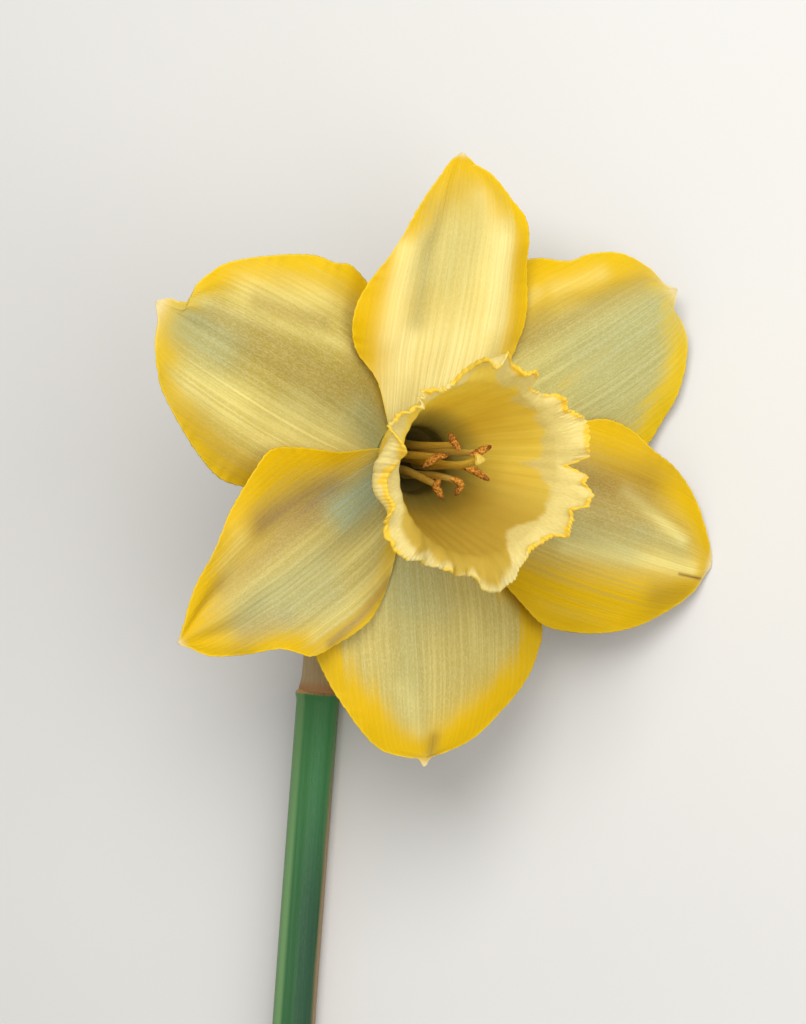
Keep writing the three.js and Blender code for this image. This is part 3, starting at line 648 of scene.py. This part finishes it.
def petal_rings(petal):
    """A petal: edges splined from base to tip, the middle line between them bent by its arch,
    recurve, cupping, folds and edge waves, with fine ribs, and laid along its direction. Its
    section is a flat loop, thinning to the edge, and its foot follows the trumpet's round. Also
    gives the grain mark (across, own, along, mm), the marks (distance from the margin, mm, its
    painted blue-grey sheen and shade, and its pale tip) and the tints and painted light (gold, pale
    cream with painted highlights, painted shade)."""
    length = petal["length"]
    u = np.concatenate([np.linspace(0, 0.93, PETAL_ROWS - 20), np.linspace(0.934, 1, 20)])[:, None]
    v, side = blade_shares(PETAL_COLUMNS)
    base, tip = [PETAL_BASE, PETAL_BASE_HALF_WIDTH], [length, PETAL_TIP_HALF_WIDTH]
    left = curve([base, *petal["left"], tip], u)
    right = curve([base, *petal["right"], tip], u)
    middle = (left[..., 0] + right[..., 0]) / 2
    edge = np.where((v > 0)[:, None], left, right)
    own = math.radians(petal["azimuth"])
    s = middle + (edge[..., 0] - middle) * np.abs(v)
    teeth = 0.05 * np.sin(4.1 * s + own) + 0.04 * np.sin(7.3 * s + 2 * own)
    t = (edge[..., 1] + teeth * ease(s / 5) * ease((length - s) / 3)) * v
    rooted, short, share = ease(s / 14), ease((length - s) / 9), s / length
    height = petal["arch"] * np.sin(math.pi * share) + petal["recurve"] * share ** 3
    height += petal["cup"] * (t / 18) ** 2 * rooted
    for place, width, fold in petal["folds"]:
        height += fold * bell((v - place) / width) * rooted * short
    wave, wavelength, phase = petal["wave"]
    turn = 2 * math.pi * s / wavelength + phase + np.where(v > 0, 1.3, 0)
    height += wave * v ** 4 * np.sin(turn) * rooted * short
    crinkle = np.sin(1.9 * s + 3 * own + 2 * np.sin(0.6 * s)) * v ** 10
    swell = np.sin(0.55 * s + 4 * v + own) * np.sin(5.2 * v - 0.12 * s + 2 * own)
    vein = 0.8 * t + 3.6 * v
    fine = 0.09 * crinkle + 0.13 * swell + 0.012 * ribs(vein)
    height += fine * ease(s / 6) * ease((length - s) / 5)
    apart = edge[..., 1] * (1 - np.abs(v))
    slant = np.gradient(edge[..., 0], axis=0), np.gradient(edge[..., 1], axis=0)
    square = np.abs(slant[0]) / np.hypot(*slant)
    height += side * PETAL_WALL / 2 * (0.3 + 0.7 * ease(apart / 3))
    inner = PETAL_ORIGIN + PETAL_BASE
    foot = inner - np.sqrt(inner ** 2 - np.minimum(np.abs(t), PETAL_BASE_HALF_WIDTH) ** 2)
    start = PETAL_ORIGIN - foot * (1 - ease((s - PETAL_BASE) / inner))
    out = start + s * math.cos(PETAL_LEAN) - height * math.sin(PETAL_LEAN)
    rise = s * math.sin(PETAL_LEAN) + height * math.cos(PETAL_LEAN)
    points = stacked(out * math.cos(own) - t * math.sin(own),
                     out * math.sin(own) + t * math.cos(own),
                     rise + (WHORL_STEP if petal["inner"] else -WHORL_STEP))
    margin = np.minimum(apart * (0.15 + 0.85 * square), 1.1 * (length - s) + 0.12 * np.abs(t))
    # How far each stroke tone covers the petal: gold, pale cream with painted highlights, painted
    # shade, and painted blue-grey sheen and shade.
    gold, pale_and_painted_highlight, painted_shade, painted_sheen_and_shade = (stroked(s, t, petal[tint]) for tint in STROKE_TONES)
    tip = bell((length - s) / petal["tip"])
    return points, {"grain": stacked(vein, 20 * own, s), "marks": stacked(margin, painted_sheen_and_shade, tip),
                    "tints_and_painted_light": stacked(gold, pale_and_painted_highlight, painted_shade)}


def petal_finish(name, petal):
    """Petal tissue: a deep-yellow margin running softly into the centre along the veins, darker
    vein lines, short bright strokes of glistening cells that are painted glints, its own gold and
    pale tints, painted highlights, painted shade and painted blue-grey sheen, and a bright thin
    edge."""
    tree, fibre, paint = tissue(name, 1.0, 0.014, 0.5, 0.06, 0.28)
    margin, painted_sheen_and_shade, tip = part_of(mark_of(tree))
    gold, pale_and_painted_highlight, painted_shade = part_of(mark_of(tree, "tints_and_painted_light"))
    reach = ragged(ragged(margin, fibre["Fine"], 1.2), fibre["Broad"], 1.8)
    inner = ramp(reach, petal["wide"] - 0.9, petal["wide"] + 3.5)
    rim = layered(colour(*petal["margin"]), (fibre["Strokes"], 0.08, 250, 216, 44))
    centre = layered(colour(*petal["centre"]), (fibre["Broad"], 0.22, 168, 152, 74),
                     (fibre["Fine"], 0.25, 236, 222, 140))
    tone = mixed(inner, rim, centre)
    streaky = ragged(0.7, fibre["Fine"], 0.45)
    # The strokes laid on in turn: gold, pale cream with painted highlights, painted shade, and
    # painted blue-grey sheen and shade.
    for amount, (tint, common) in zip((gold, pale_and_painted_highlight, painted_shade, painted_sheen_and_shade), STROKE_TONES.items()):
        share = number("MULTIPLY", amount, streaky, clamp=True)
        tone = mixed(share, tone, colour(*petal.get(tint + "_tone", common)))
    bare = number("MULTIPLY", inner, number("SUBTRACT", 1.0, gold))
    valley = ragged(ragged(0.36, fibre["Fine"], -0.36), fibre["Veins"], petal["veins"])
    valley = number("MULTIPLY", valley, ramp(bare, 0.0, 1.0, 0.45, 1.0))
    tone = mixed(valley, tone, (0.72, 0.68, 0.5, 1), "MULTIPLY")
    # Painted glints: near-white specks on the centre where the glint noise peaks.
    painted_glint = number("MULTIPLY", ramp(fibre["Glints"], 0.35, 1.0), bare)
    tone = layered(tone, (painted_glint, 0.13, 255, 248, 200),
                   (ramp(margin, 0.35, 0.05), 0.5, 252, 222, 60), (tip, 1.0, 238, 222, 168))
    return paint(tone, **{"Specular IOR Level": 0.12})


for petal_name, petal in PETALS.items():
    petal_points, petal_marks = petal_rings(petal)
    solid(petal_name + "_dressed", petal_points, petal_finish(petal_name + " tissue", petal),
          "petal", [petal_name], **petal_marks)


# ---- Trumpet ----
# The golden trumpet is one soft wall, rooted in the tube's mouth. Towards its rim it pales to
# cream, flares out and is crimped into ruffles, and its deep-yellow edge is beaded and rolled back.

TRUMPET_WALL = [[-3, 4.95], [-0.9, 5.6], [0.85, 6.1], [2.8, 7.5], [6, 9.1], [11, 10.7], [19, 12.6],
                [24.5, 14]]
TRUMPET_DEPTH = 28.8           # length of that plain wall
TRUMPET_THICKNESS = 0.5
# Length of the loose rim above it, as [degrees round it, mm]
TRUMPET_REACH = [
    [-176, 10], [-169, 10], [-161, 9], [-151, 7], [-146.5, 8.3], [-140, 8.7], [-133, 9.2],
    [-125, 5.9], [-119, 5.5], [-111, 5.2], [-102, 4.8], [-93, 4.2], [-88, 6.4], [-82, 8],
    [-76, 6.8], [-69, 6], [-65, 4.4], [-48.5, 2.8], [-38, 3.8], [-34, 6.1], [-23, 5.8], [-16, 7.5],
    [-9, 7.3], [-5, 6], [0, 5.7], [5, 1.7], [10, 6], [20, 6.7], [30, 6.7], [38, 5], [45, 6.1],
    [53, 2.6], [60.5, 2], [63, 5.1], [70, 7.1], [81, 5.5], [90.5, 9.8], [99, 9.3], [105, 4.4],
    [112, 1.2], [120, 1.2], [129, 3.4], [136, 4.9], [144, 8], [151, 8.5], [159, 8], [166, 11],
    [172, 12], [179, 12.1]]
# Where it leans out further, as [degrees round it, half width, degrees]
TRUMPET_LEANS = [[-170, 26, 56], [99, 9, 25], [-88, 5, 25]]
# Where its lip is rolled in, or out if negative, as [degrees round it, half width, turn in degrees]
TRUMPET_ROLLS = [[-175, 19, 235], [150, 10, 45], [97, 9, 115], [76, 7, 40], [-19, 6, 100],
                 [-112, 22, -40], [-46, 9, 45], [124, 10, 40], [35, 30, -15], [-70, 8, -40]]
# Its frills, as [degrees round it, half width, waves in a full turn, swing in degrees]
TRUMPET_FRILLS = [[132, 22, 44, 22], [90, 18, 19, 36], [40, 26, 46, 20], [-6, 18, 30, 26],
                  [-48, 24, 27, 28], [-104, 24, 34, 32], [-142, 14, 26, 24], [-176, 20, 16, 34]]
# How wide the cream band below the rim is, as [degrees round it, more width, half width]
TRUMPET_BAND = [[8, 6.6, 40], [80, 2.6, 24], [-52, 3, 16], [-176, 9, 20], [-100, -2.5, 32]]
# Width of its yellow edge, as [degrees round it, mm]
TRUMPET_EDGE = [
    [-175, 1.7], [-152, 1.4], [-138, 0.6], [-120, 0.1], [-90, 0.2], [-60, 0.3], [-42, 1.1],
    [-20, 1.6], [-9, 0.6], [4, 1.3], [14, 0.8], [38, 1.2], [60, 1.1], [67, 1.8], [80, 2],
    [92, 0.6], [104, 1.3], [118, 0.4], [130, 1.2], [150, 1.1], [160, 0.2], [170, 1.5]]
TRUMPET_ROUND, TRUMPET_LOOP = 1000, 98
TRUMPET_PLAIN = 0.42           # share of its rows that lies on the plain wall
TRUMPET_GRAIN = 14             # radius of the round that its grain mark lies on


def turned_from(angle, place, width):
    """A hump of height 1 about a direction, both in degrees, of the given half width."""
    return bell(((np.degrees(angle) - place + 180) % 360 - 180) / width)


def round_table(angle, table):
    """Values of a table of [degrees, value], carried straight from each to the next all round."""
    place, value = np.array(sorted(table)).T
    return np.interp(np.degrees(angle), place, value, period=360)


def trumpet_rings():
    """The trumpet: a plain wall turned about the axis, and a loose rim above it. The rim's lean
    from the axis grows along it, more in some directions, swings to and fro in ruffles and finer
    frills, and turns over where the lip is rolled; adding up its small steps gives the place of
    every ring. Its edge is scalloped by |sin|. Its grain mark is (x, y) on a fixed round and the
    distance along the wall, mm; its marks are (distance from the lip less its yellow edge, height,
    the same less the cream band), mm."""
    half = TRUMPET_LOOP // 2
    front = np.linspace(0, 1, half + 1)
    low = np.minimum(front / TRUMPET_PLAIN, 1)
    g = np.maximum((front - TRUMPET_PLAIN) / (1 - TRUMPET_PLAIN), 0)
    angle = round_angles(TRUMPET_ROUND)[:, None]
    z, r = np.moveaxis(curve(TRUMPET_WALL, low), -1, 0)
    dz, dr = np.moveaxis(curve(TRUMPET_WALL, low + 0.02) - curve(TRUMPET_WALL, low - 0.02), -1, 0)
    scallop = np.abs(np.sin(72 * angle + 2.2 * np.sin(11 * angle))) ** 0.7
    reach = round_table(angle, TRUMPET_REACH) + (0.15 + 0.2 * turned_from(angle, 30, 60)) * scallop
    ruffle = np.sin(14 * angle + 1.1 * np.sin(3 * angle))
    lean = 0.3 + 0.85 * g ** 1.2 + 0.22 * ruffle * ease(g / 0.8)
    lean = np.where(g > 0, lean, np.arctan2(dr, dz))
    for place, width, waves, swing in TRUMPET_FRILLS:
        turn = waves * angle + 0.06 * waves * np.sin(5 * angle + place)
        swing = math.radians(swing) * turned_from(angle, place, width) * ease((g - 0.45) / 0.55)
        lean += swing * (np.sin(turn) + 0.2 * np.sin(2.3 * turn + 1 + 3 * g))
    for place, width, more in TRUMPET_LEANS:
        lean += math.radians(more) * turned_from(angle, place, width) * ease(g / 0.35)
    for place, width, turn in TRUMPET_ROLLS:
        lean -= math.radians(turn) * turned_from(angle, place, width) * ease((g - 0.4) / 0.6)
    step, mid = reach * np.diff(g), (lean[:, 1:] + lean[:, :-1]) / 2
    z, r = z + 0 * lean, r + 0 * lean  # the same all the way round
    z[:, 1:] += np.cumsum(step * np.cos(mid), 1)
    r[:, 1:] += np.cumsum(step * np.sin(mid), 1)
    round_trip = np.concatenate([np.arange(half + 1), np.arange(half - 1, 0, -1)])
    side = np.concatenate([[0], -np.ones(half - 1), [0], np.ones(half - 1)])
    flutes = 0.06 * np.sin(36 * angle + 1.2 * np.sin(5 * angle)) * ease(front / 0.3)
    away = reach * (1 - g)
    bead = (0.35 + 1.1 * scallop) * bell(np.maximum(away - 0.3, 0) / 0.35)
    wall = (ease(front / 0.1) * (1 - 0.45 * ease(g / 0.5)) + bead) * np.minimum(away / 0.3 + 0.3, 1)
    wall = side * TRUMPET_THICKNESS / 2 * wall[:, round_trip]
    lean, flutes = lean[:, round_trip], flutes[:, round_trip]
    r = r[:, round_trip] + (wall + flutes) * np.cos(lean)
    z = z[:, round_trip] - (wall + flutes) * np.sin(lean)
    far = (TRUMPET_DEPTH * low + reach * g)[:, round_trip]
    lip = TRUMPET_DEPTH + reach - far
    band = 2.6 + sum(more * turned_from(angle, place, width) for place, more, width in TRUMPET_BAND)
    edge = round_table(angle, TRUMPET_EDGE)
    return turned(r, angle, z), {"grain": turned(TRUMPET_GRAIN, angle, far),
                                 "marks": stacked(lip - edge, z, lip - band)}


def trumpet_finish():
    """Gold with fine lengthwise streaks, a painted shade that darkens the lower wall and turns the
    throat darker and greener, running softly into a cream band below the rim, and a deep-yellow
    edge."""
    tree, fibre, paint = tissue("trumpet tissue", 1.0, 0.02, 0.4, 0.03, 0.55)
    edge, height, band = part_of(mark_of(tree))
    # Painted shade: the lower wall darkened, and the throat darker and greener.
    low = ramp(part_of(mark_of(tree, "grain"))[1], 2.0, -11.0)
    tone = layered(colour(252, 232, 112), (fibre["Drift"], 1.0, 255, 241, 130),
                   (low, 1.0, 214, 188, 82), (fibre["Fine"], 0.22, 226, 200, 88),
                   (ramp(height, 9.0, -2.0), 1.0, 150, 140, 74))
    cream = layered(colour(238, 226, 158), (fibre["Strokes"], 1.0, 246, 236, 176))
    band = ramp(ragged(band, fibre["Broad"], 1.4), 1.9, 0.2, 0.0, 0.92)
    edge = ragged(ragged(edge, fibre["Fine"], 0.7), fibre["Broad"], 1.5)
    tone = layered(mixed(band, tone, cream), (ramp(edge, 1.0, 0.3), 0.9, 252, 224, 78))
    return paint(tone, **{"Specular IOR Level": 0.15})


trumpet, trumpet_marks = trumpet_rings()
solid("trumpet_dressed", trumpet, trumpet_finish(), "trumpet", ["trumpet"], looped=True,
      **trumpet_marks)


# ---- Stamens and style ----
# Six stamens stand round the style, rooted in the tube: pale gold filaments with loose anthers,
# split open and crusted with orange-brown pollen. The style ends in a stigma of three blunt lobes.

FILAMENT_RADIUS, FILAMENT_FACETS = 0.75, 24
FILAMENT_FOOT, FILAMENT_FOOT_RADIUS = -6, 2.75
FILAMENT_HOLD = 0.35           # share of an anther where its filament meets it
ANTHER_RADIUS, ANTHER_FACETS = 0.62, 44
# Each stamen: the direction of its foot, and its anther's line from its inner to its outer end
STAMENS = [
    [102, [[0.2, 2.5, 16.8], [-0.5, 3.7, 16.2], [-1.3, 5.25, 15.5]]],
    [42, [[2.9, 1.8, 15], [4.4, 2.45, 15.3], [6.3, 3.55, 15.8]]],
    [-19, [[1.9, 0.1, 13], [3.9, -0.6, 14.4], [6.2, -2.1, 16.2]]],
    [-76, [[-1, -2, 16.4], [1, -2.8, 16.1], [0.7, -4.9, 15.4]]],
    [-136, [[-1.9, -2.2, 14.2], [-2, -3.7, 13.7], [-0.6, -5.6, 13.4]]],
    [160, [[-1.5, 1.6, 16], [-3.5, 1.05, 15.5], [-5.1, -0.7, 14.5]]],
]
STYLE_RADIUS, STYLE_TOP = 0.6, 23.6
POLLEN_SEED = 5


def plain_skin(name, deep, light):
    """Two tones of one tissue, streaked into each other."""
    _, fibre, paint = tissue(name, 2.2, 0.2, 0.45, 0.04, 0.1)
    tone = layered(colour(*deep), (fibre["Fine"], 1.0, *light), (fibre["Strokes"], 0.25, *light))
    return paint(tone)


def pollen_crust():
    """Pollen: grains of three tones, orange-brown, dark red-brown and straw, darker at the tips."""
    tree, fibre, paint = tissue("pollen", 2.2, 2.2, 0.8, 0.12)
    grains = {"Vector": mark_of(tree, "grain"), "Scale": 4.2}
    pick = part_of(add(tree, "TexVoronoi", grains).outputs["Color"])
    tip = ramp(part_of(mark_of(tree))[0], 0.72, 0.96)
    tone = layered(colour(172, 110, 38), (ramp(pick[0], 0.3, 0.8), 1.0, 210, 150, 58),
                   (ramp(pick[1], 0.7, 0.85), 0.8, 108, 54, 26), (tip, 0.7, 98, 50, 26))
    return paint(tone, **{"Specular IOR Level": 0.1})


def anther_rings(line, pollen):
    """An anther: a rod whose section is the square root of a sine hump, with a groove down its
    back, lumps from sines, and grains scattered by a seeded draw. Its marks are the share along."""
    k = ends_dense(90)
    turn = round_angles(ANTHER_FACETS)
    case = ANTHER_RADIUS * np.sqrt(np.sin(math.pi * (0.001 + 0.998 * k)))[:, None]
    case = case * (1 - 0.3 * np.abs(np.cos(turn)) ** 8)
    lumps = np.sin(19 * k[:, None] + 2 * turn) * np.sin(3 * turn + 31 * k[:, None])
    case = case * (0.97 + 0.16 * lumps + 0.3 * (pollen.random(case.shape) - 0.5))
    return rod(line, k, case, (0, 0, 1)), k[:, None, None]


FILAMENT_SKIN = plain_skin("filament tissue", (206, 176, 84), (226, 198, 108))
POLLEN = pollen_crust()
pollen = np.random.default_rng(POLLEN_SEED)
for count, (direction, anther) in enumerate(STAMENS, 1):
    hold = curve(anther, np.array([FILAMENT_HOLD]))[0]
    lean = hold * [0.85, 0.85, 0] + [0, 0, 9]
    way = math.radians(direction)
    line = [turned(FILAMENT_FOOT_RADIUS, way, FILAMENT_FOOT), turned(2.5, way, 0), lean,
            hold - [0, 0, ANTHER_RADIUS / 2]]
    k = ends_dense(60)
    thread = FILAMENT_RADIUS * (1 - 0.35 * k) * fade_ends(k, 0.02)
    thread = rod(line, k, thread[:, None] * np.ones(FILAMENT_FACETS))
    solid(f"filament_{count}_dressed", thread, FILAMENT_SKIN, "filament", [f"filament_{count}"],
          grain=thread)
    crust, share = anther_rings(anther, pollen)
    solid(f"anther_{count}_dressed", crust, POLLEN, "anther", [f"anther_{count}"], grain=crust,
          marks=share)


def style_rings():
    """The style: a slim rod that bends at its top into a head of radius 0.3 + 0.22 cos 3a."""
    foot = -TUBE_LENGTH + SEAT
    path = [[0, 0, foot], [0, 0, 12], [0, 0.4, 19], [0.2, 1.3, STYLE_TOP],
            [0.3, 1.6, STYLE_TOP + 1.3]]
    k = np.concatenate([np.linspace(0, 0.84, 60), np.linspace(0.845, 1, 60)])
    angle = round_angles(60)
    head = ease((k - 0.88) / 0.07) * (1 - 0.55 * ease((k - 0.95) / 0.05))
    lobes = 0.3 + 0.22 * np.cos(3 * angle)
    radius = (STYLE_RADIUS + head[:, None] * lobes) * fade_ends(k, 0.012)[:, None]
    return rod(path, k, radius)


style = style_rings()
solid("style_dressed", style, plain_skin("style tissue", (190, 156, 54), (212, 180, 70)),
      "style", ["style_and_stigma"], grain=style)


# ---- Table, light and camera ----
# A pale matt table under the picked flower, a broad soft light from above its upper left side, a
# weaker one opposite, and a camera that looks into the trumpet from above.

TABLE = 1.6


def table_finish():
    """Pale matt grey with a barely visible mottle."""
    material = bpy.data.materials.new("table")
    material.use_nodes = True
    tree = material.node_tree
    where = add(tree, "TexCoord").outputs["Object"]
    mottle = add(tree, "TexNoise", {"Vector": where, "Scale": 9.0}).outputs[0]
    skin = tree.nodes["Principled BSDF"]
    tree.links.new(mixed(mottle, colour(206, 204, 199), colour(212, 210, 206)),
                   skin.inputs["Base Color"])
    skin.inputs["Roughness"].default_value = 0.8
    return material


floor_mesh = bpy.data.meshes.new("table")
corners = [(-TABLE, -TABLE, 0), (TABLE, -TABLE, 0), (TABLE, TABLE, 0), (-TABLE, TABLE, 0)]
floor_mesh.from_pydata(corners, [], [(0, 1, 2, 3)])
floor_mesh.materials.append(table_finish())
floor = bpy.data.objects.new("table", floor_mesh)
bpy.context.collection.objects.link(floor)

# The camera's own axes, right, up and back, in the flower's millimetres: the trumpet's axis points
# past it, 24 degrees to its right and 4 up, and the flower leans by 2.5 degrees
VIEW = (Matrix.Rotation(math.radians(24), 3, "Y") @ Matrix.Rotation(math.radians(4), 3, "X")
        @ Matrix.Rotation(math.radians(-2.52), 3, "Z"))
VIEW = np.array(VIEW)
EYE = np.array([-1.98, -8.58, 700]) @ VIEW
LENS = 149.15


def facing(rows, place):
    """A 4 by 4 matrix from three axes, given as rows in the flower's frame, and a place, m."""
    turn = Matrix((LAY @ rows.T).tolist()).to_4x4()
    return Matrix.Translation(place) @ turn


lens = bpy.data.cameras.new("camera")
lens.lens, lens.clip_start, lens.clip_end = LENS, 0.01, 20
camera = bpy.data.objects.new("camera", lens)
camera.matrix_world = facing(VIEW, lay(EYE))
bpy.context.collection.objects.link(camera)
bpy.context.scene.camera = camera

# Lights as [right, up, back] of the flower in the camera's axes, mm, size in m, and power
for light_name, spot, size, power in (("key", (-90, 320, 670), 0.5, 4.9),
                                      ("fill", (320, 0, 620), 0.6, 2.6)):
    lamp = bpy.data.lights.new(light_name, "AREA")
    lamp.shape, lamp.size, lamp.energy = "DISK", size, power
    holder = bpy.data.objects.new(light_name, lamp)
    at = np.array(spot) @ VIEW
    back = at / np.linalg.norm(at)
    right = np.cross(VIEW[1], back)
    right /= np.linalg.norm(right)
    holder.matrix_world = facing(np.stack([right, np.cross(back, right), back]), lay(at))
    bpy.context.collection.objects.link(holder)

world = bpy.data.worlds.new("studio")
world.use_nodes = True
world.node_tree.nodes["Background"].inputs["Color"].default_value = (1, 1, 1, 1)
world.node_tree.nodes["Background"].inputs["Strength"].default_value = 0.4
bpy.context.scene.world = world
bpy.context.scene.view_settings.view_transform = "Standard"
